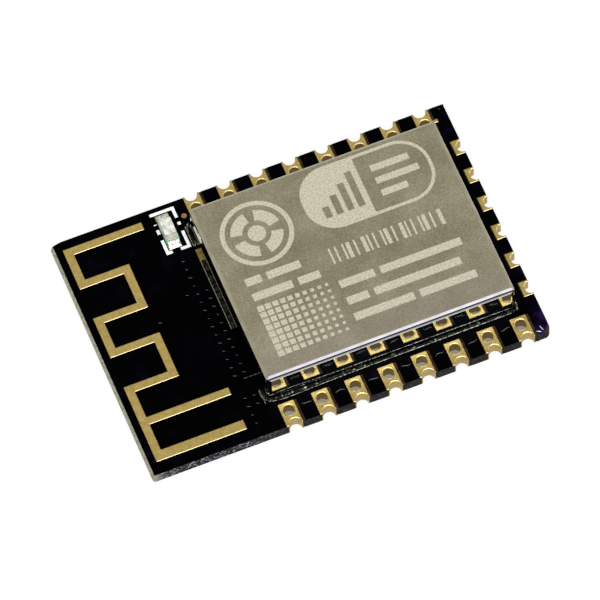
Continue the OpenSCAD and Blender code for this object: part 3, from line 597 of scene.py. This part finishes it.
def slabs(name, pieces):
    """One mesh of closed slabs. Each piece is a pair of (n, 2) arrays, its right and left edges
    in millimetres from the can's centre; the slab spans them from under the can's face to just
    over it. A pair whose first and last points agree closes on itself."""
    points, faces, base = [], [], 0
    for right_edge, left_edge in pieces:
        right_edge, left_edge = np.asarray(right_edge, float), np.asarray(left_edge, float)
        loop = np.allclose(right_edge[0], right_edge[-1])
        if loop:
            right_edge, left_edge = right_edge[:-1], left_edge[:-1]
        n = len(right_edge)
        ring = np.stack([right_edge, left_edge, left_edge, right_edge], axis=1)
        ring = ring + (can_centre.x, can_centre.y)
        height = np.broadcast_to(can_high.z / MM + np.array(
            [MARK_TOP, MARK_TOP, -MARK_DEPTH, -MARK_DEPTH])[None, :, None], (n, 4, 1))
        points.append(np.concatenate([ring, height], axis=2).reshape(-1, 3))
        here = np.arange(n if loop else n - 1)[:, None]
        there = (here + 1) % n
        k = np.arange(4)[None, :]
        quads = np.stack([4 * here + k, 4 * there + k, 4 * there + (k + 1) % 4,
                          4 * here + (k + 1) % 4], axis=2).reshape(-1, 4)
        caps = [] if loop else [[0, 1, 2, 3], [4 * n - 1, 4 * n - 2, 4 * n - 3, 4 * n - 4]]
        faces.append(np.concatenate([quads] + ([np.array(caps)] if caps else [])) + base)
        base += 4 * n
    make_piece(name, "shield_sheet", np.concatenate(points), np.concatenate(faces).tolist(), etched)


def bar(x0, y0, x1, y1):
    """A rectangle as two edges."""
    return [(x0, y0), (x1, y0)], [(x0, y1), (x1, y1)]


def arc_band(cx, cy, outer, inner, start, end, steps=24):
    """A band between two radii about (cx, cy), from start to end in degrees."""
    a = np.radians(np.linspace(start, end, steps + 1))
    way = np.stack([np.cos(a), np.sin(a)], axis=1)
    return way * outer + (cx, cy), way * inner + (cx, cy)


def disc(cx, cy, radius, steps=36):
    """A disc about (cx, cy) as two edges, its lower and its upper arc from left to right. Both
    stop 2 degrees short of the ends, so that no face shrinks to nothing."""
    a = np.radians(np.linspace(178, 2, steps + 1))
    x, rise = cx + radius * np.cos(a), radius * np.sin(a)
    return np.stack([x, cy - rise], axis=1), np.stack([x, cy + rise], axis=1)


# A ring about a disc, with four arcs between them that leave a cross bare.
RING_X, RING_Y, RING_OUT, RING_IN, DISC_R = -4.49, 3.0, 2.1, 1.82, 0.52
ARC_OUT, ARC_IN, ARC_FROM, ARC_TO = 1.5, 0.82, 12, 78
target = [arc_band(RING_X, RING_Y, RING_OUT, RING_IN, 0, 360, 72), disc(RING_X, RING_Y, DISC_R)]
for turn in (0, 90, 180, 270):
    target.append(arc_band(RING_X, RING_Y, ARC_OUT, ARC_IN, turn + ARC_FROM, turn + ARC_TO))
slabs("etched_target", target)

# The panel: a solid left part with four bars cut out of it, which rise in steps, then an outline
# round three bars. Its corners' radius, the x that parts the two, and the outline's width follow.
PANEL = (-1.48, 6.33, 1.47, 5.6)
PANEL_R, PANEL_SPLIT, PANEL_LINE = 1.85, 2.2, 0.2
STEP_BARS, STEP_IN, STEP_PITCH, STEP_W = 4, 0.95, 0.66, 0.4
STEP_FOOT, STEP_H, STEP_RISE = 1.2, 0.75, 0.55


def panel_edge(x, inset=0.0):
    """Half height of the rounded panel at each x, drawn in by inset: half its height, less the
    rise of the corner circle past the corner's centre."""
    left, right, low, high = PANEL
    r = PANEL_R - inset
    past = np.maximum(0, np.maximum(left + PANEL_R - x, x - right + PANEL_R))
    return (high - low) / 2 - inset - (r - np.sqrt(np.maximum(r * r - past * past, 0)))


left, right, low, high = PANEL
middle = (low + high) / 2
corner_x = left + PANEL_R * (1 - np.cos(np.linspace(0, np.pi / 2, 13)))
cut_x = [left + STEP_IN + STEP_PITCH * i for i in range(STEP_BARS)]
stops = [left] + [v for x in cut_x for v in (x, x + STEP_W)] + [PANEL_SPLIT]
panel = []
for i, (x0, x1) in enumerate(zip(stops[:-1], stops[1:])):
    x = np.unique(np.concatenate([[x0, x1], corner_x[(corner_x > x0) & (corner_x < x1)]]))
    half = panel_edge(x)
    if i % 2 == 0:
        panel.append((np.stack([x, middle - half], 1), np.stack([x, middle + half], 1)))
        continue
    foot, tall = middle - STEP_FOOT, STEP_H + STEP_RISE * (i // 2)
    panel.append((np.stack([x, middle - half], 1), np.stack([x, x * 0 + foot], 1)))
    panel.append((np.stack([x, x * 0 + foot + tall], 1), np.stack([x, middle + half], 1)))
quarter = np.sin(np.linspace(0, np.pi / 2, 17))
x = np.concatenate([[PANEL_SPLIT], right - PANEL_R * (1 - quarter)])
inner_x = np.concatenate([[PANEL_SPLIT], right - PANEL_R + (PANEL_R - PANEL_LINE) * quarter])
outer_half, inner_half = panel_edge(x), panel_edge(inner_x, PANEL_LINE)
outer = np.concatenate([np.stack([x, middle - outer_half], 1),
                        np.stack([x, middle + outer_half], 1)[::-1]])
inner = np.concatenate([np.stack([inner_x, middle - inner_half], 1),
                        np.stack([inner_x, middle + inner_half], 1)[::-1]])
panel.append((outer, inner))
# Each inner bar: the height of its lower edge over the panel's middle, and its length.
INNER_BARS, BAR_H, BARS_IN = ((0.65, 2.3), (-0.2, 2.6), (-1.05, 1.6)), 0.42, 0.75
bars_x = PANEL_SPLIT + BARS_IN
panel += [bar(bars_x, middle + y, bars_x + length, middle + y + BAR_H)
          for y, length in INNER_BARS]
slabs("etched_panel", panel)

# A strip of upright bars. Bars and spaces take their widths in turn from a plain repeat, so they
# say nothing.
STRIP_X, STRIP_Y, STRIP_L, STRIP_H, STRIP_UNIT = -1.23, -0.54, 6.9, 1.04, 0.115
widths = [1, 2, 1, 3, 1, 1, 2, 2, 1, 3, 2, 1] * 4
strip, x = [], STRIP_X
for i, units in enumerate(widths):
    after = x + units * STRIP_UNIT
    if after > STRIP_X + STRIP_L:
        break
    if i % 2 == 0:
        strip.append(bar(x, STRIP_Y, after, STRIP_Y + STRIP_H))
    x = after
slabs("etched_bar_strip", strip)

# Rows of bars: where each row starts, how tall it is, and the lengths of its bars.
BAR_SPACE = 0.35
ROWS = ((-6.28, -0.02, 0.5, (0.95, 2.0)), (-6.24, -1.05, 0.5, (2.4, 1.3)),
        (-1.45, -2.15, 0.5, (2.1, 4.9)), (-1.45, -3.3, 0.5, (1.3, 5.2)),
        (-1.45, -4.4, 0.5, (3.6, 3.4)))
row_bars = []
for x, y, tall, lengths in ROWS:
    for length in lengths:
        row_bars.append(bar(x, y, x + length, y + tall))
        x += length + BAR_SPACE
slabs("etched_row_bars", row_bars)

# A field of squares that shrink from left to right, from a share of their cell by a share each.
FIELD_X, FIELD_Y, CELL, COLUMNS, LINES = -6.3, -4.9, 0.44, 10, 8
HALF_SHARE, HALF_LESS = 0.43, 0.025
squares = []
for i in range(COLUMNS):
    half = CELL * (HALF_SHARE - HALF_LESS * i)
    for j in range(LINES):
        x, y = FIELD_X + (i + 0.5) * CELL, FIELD_Y + (j + 0.5) * CELL
        squares.append(bar(x - half, y - half, x + half, y + half))
slabs("etched_square_field", squares)


# ---- Solder ----
# Lead-free tin solder, melted and set: a rippled mirror. Its colour is painted shade, near black,
# with pale patches of painted highlight where the noise runs high.
SOLDER_PATCH, SWELL = 0.2, 0.22
solder, tree, mm = new_material("reflowed_tin_solder")
painted_patches = add(tree, "ShaderNodeTexNoise", {"Vector": mm, "Scale": 1 / SOLDER_PATCH})
colour = add(tree, "ShaderNodeValToRGB", {"Fac": painted_patches},
             ((0.45, "#0f100e"), (0.6, "#26271f"), (0.75, "#8a8c80")))
swell = add(tree, "ShaderNodeTexNoise", {"Vector": mm, "Scale": 1 / SWELL, "Detail": 3.0})
swell = add(tree, "ShaderNodeBump", {"Height": swell, "Distance": 0.08 * MM})
shader = add(tree, "ShaderNodeBsdfPrincipled", {"Base Color": colour, "Metallic": 1.0,
                                                "Roughness": 0.12, "Normal": swell})
add(tree, "ShaderNodeOutputMaterial", {"Surface": shader})
dress(solder, "shield_solder")

# The lamp's joints are coloured bright tin, with small patches of painted purple-grey shade.
BRIGHT_RIPPLE = 0.12
bright, tree, mm = new_material("bright_solder_skin")
painted_patches = add(tree, "ShaderNodeTexNoise", {"Vector": mm, "Scale": 1 / BRIGHT_RIPPLE})
colour = add(tree, "ShaderNodeValToRGB", {"Fac": painted_patches},
             ((0.34, "#4a4450"), (0.45, "#b3b4ae"), (0.62, "#e2e3dc")))
swell = add(tree, "ShaderNodeTexNoise", {"Vector": mm, "Scale": 1 / BRIGHT_RIPPLE,
                                         "Detail": 3.0})
swell = add(tree, "ShaderNodeBump", {"Height": swell, "Distance": 0.02 * MM, "Strength": 0.7})
shader = add(tree, "ShaderNodeBsdfPrincipled", {"Base Color": colour, "Metallic": 1.0,
                                                "Roughness": 0.2, "Normal": swell})
add(tree, "ShaderNodeOutputMaterial", {"Surface": shader})
dress(bright, "lamp_solder")

# Solder that ran out from under the can: a hook and a thin run in front, and beads by the lamp.
RUN_RIPPLE = 0.15
rippled, tree, mm = new_material("rippled_solder_skin")
painted_patches = add(tree, "ShaderNodeTexNoise", {"Vector": mm, "Scale": 1 / RUN_RIPPLE})
# Painted shade: the runs are coloured darker than tin, in dark and mid-grey patches.
colour = add(tree, "ShaderNodeValToRGB", {"Fac": painted_patches},
             ((0.36, "#2e2f2a"), (0.5, "#76776e"), (0.66, "#a6a79b")))
swell = add(tree, "ShaderNodeTexNoise", {"Vector": mm, "Scale": 1 / RUN_RIPPLE, "Detail": 3.0})
swell = add(tree, "ShaderNodeBump", {"Height": swell, "Distance": 0.02 * MM, "Strength": 0.7})
shader = add(tree, "ShaderNodeBsdfPrincipled", {"Base Color": colour, "Metallic": 1.0,
                                                "Roughness": 0.2, "Normal": swell})
add(tree, "ShaderNodeOutputMaterial", {"Surface": shader})
RUNS = (
    ((-4.46, -5.2, 0.83, 0.02), (-4.56, -5.34, 0.85, 0.045), (-4.57, -5.72, 0.85, 0.04),
     (-4.42, -6.04, 0.85, 0.032), (-4.05, -6.24, 0.84, 0.024), (-3.07, -6.31, 0.83, 0.018),
     (-1.1, -6.23, 0.82, 0.024), (1.4, -6.19, 0.82, 0.034), (5.6, -6.19, 0.82, 0.036),
     (8.5, -6.18, 0.82, 0.04), (10.4, -6.17, 0.82, 0.03)),
    ((-4.265, 6.3, 0.84, 0.03), (-4.385, 6.15, 0.85, 0.06), (-4.445, 5.95, 0.86, 0.07),
     (-4.475, 5.7, 0.84, 0.03)),
    ((-4.205, 6.12, 0.88, 0.03), (-4.225, 5.9, 0.9, 0.04), (-4.215, 5.4, 0.9, 0.035),
     (-4.145, 4.9, 0.88, 0.045), (-4.125, 4.76, 0.86, 0.02)),
    ((-4.385, 4.94, 0.82, 0.03), (-4.395, 4.86, 0.83, 0.055), (-4.405, 4.78, 0.82, 0.03)),
)
make_piece("solder_runs", "solder", *soft_runs(RUNS), rippled, smooth=True)

# A drop has climbed the can's front right corner; its rows are set from that corner.
end_x, end_y = can_high.x / MM, can_low.y / MM
drop = [[(end_x - 0.02, end_y + 0.04, 1.5, 0.02), (end_x + 0.02, end_y, 1.35, 0.06),
         (end_x + 0.04, end_y - 0.03, 1.1, 0.1), (end_x + 0.02, end_y - 0.06, 0.9, 0.14),
         (end_x - 0.05, end_y - 0.1, 0.79, 0.1)]]
make_piece("solder_corner_drop", "solder", *soft_runs(drop), bright, smooth=True)


# ---- Indicator lamp ----
# A chip lamp, soldered across two lands: a green-tinted resin base, tinned ends, and a milky
# lens of epoxy cast over the chip.
RESIN_MOTTLE, TIN_MOTTLE, LENS_CLOUD = 0.15, 0.12, 0.32
resin, tree, mm = new_material("green_lamp_resin")
mottle = add(tree, "ShaderNodeTexNoise", {"Vector": mm, "Scale": 1 / RESIN_MOTTLE})
colour = add(tree, "ShaderNodeValToRGB", {"Fac": mottle}, ((0.35, "#2c8272"), (0.65, "#62b7a4")))
shader = add(tree, "ShaderNodeBsdfPrincipled", {"Base Color": colour, "Roughness": 0.4})
add(tree, "ShaderNodeOutputMaterial", {"Surface": shader})
dress(resin, "lamp_base")

tinned, tree, mm = new_material("tinned_lamp_ends")
mottle = add(tree, "ShaderNodeTexNoise", {"Vector": mm, "Scale": 1 / TIN_MOTTLE})
colour = add(tree, "ShaderNodeValToRGB", {"Fac": mottle}, ((0.35, "#b0ad90"), (0.6, "#e6e6da")))
shader = add(tree, "ShaderNodeBsdfPrincipled", {"Base Color": colour, "Metallic": 1.0,
                                                "Roughness": 0.35})
add(tree, "ShaderNodeOutputMaterial", {"Surface": shader})
dress(tinned, "lamp_terminals")

lens, tree, mm = new_material("milky_lens_epoxy")
cloud = add(tree, "ShaderNodeTexNoise", {"Vector": mm, "Scale": 1 / LENS_CLOUD})
colour = add(tree, "ShaderNodeValToRGB", {"Fac": cloud},
             ((0.36, "#a6a59d"), (0.5, "#c2c1b9"), (0.64, "#d8d6ce")))
swell = add(tree, "ShaderNodeBump", {"Height": cloud, "Distance": 0.02 * MM, "Strength": 0.2})
shader = add(tree, "ShaderNodeBsdfPrincipled", {"Base Color": colour, "Roughness": 0.38,
                                                "Normal": swell})
add(tree, "ShaderNodeOutputMaterial", {"Surface": shader})
dress(lens, "lamp_lens")


# ---- Parts under the shield ----
# Moulded chips, a ceramic crystal and fired ceramic chips with tinned ends, all reflow soldered.
# Each finish is a mottle of a given size between a dark and a light tone, with a faint grain,
# and has its metallic and its roughness.
INNER_FINISHES = (
    ("moulded_chip_epoxy", 0.08, "#161618", "#232326", 0.0, 0.6, ("radio_chip", "flash_memory")),
    ("matt_tin", 0.1, "#b4b6b3", "#cfd1ce", 1.0, 0.4,
     ("radio_contacts", "flash_leads", "capacitor_ends", "resistor_ends", "inductor_ends")),
    ("fired_dark_ceramic", 0.1, "#423d38", "#544e48", 0.0, 0.45, ("crystal_base",)),
    ("gilt_crystal_lid", 0.3, "#bca873", "#cfc094", 1.0, 0.3, ("crystal_lid",)),
    ("fired_tan_ceramic", 0.1, "#7d5f40", "#967552", 0.0, 0.4, ("capacitor_bodies",)),
    ("black_resistor_glaze", 0.1, "#1b1b1b", "#2a2a2a", 0.0, 0.25, ("resistor_bodies",)),
    ("fired_blue_ceramic", 0.1, "#50626b", "#667a84", 0.0, 0.35, ("inductor_bodies",)),
)
for name, grain_size, dark_tone, light_tone, metallic, roughness, nodes in INNER_FINISHES:
    material, tree, mm = new_material(name)
    mottle = add(tree, "ShaderNodeTexNoise", {"Vector": mm, "Scale": 1 / grain_size})
    colour = add(tree, "ShaderNodeValToRGB", {"Fac": mottle},
                 ((0.35, dark_tone), (0.65, light_tone)))
    grain = add(tree, "ShaderNodeBump", {"Height": mottle, "Distance": 0.004 * MM,
                                         "Strength": 0.5})
    shader = add(tree, "ShaderNodeBsdfPrincipled", {"Base Color": colour, "Metallic": metallic,
                                                    "Roughness": roughness, "Normal": grain})
    add(tree, "ShaderNodeOutputMaterial", {"Surface": shader})
    dress(material, *nodes)


bpy.context.view_layer.update()
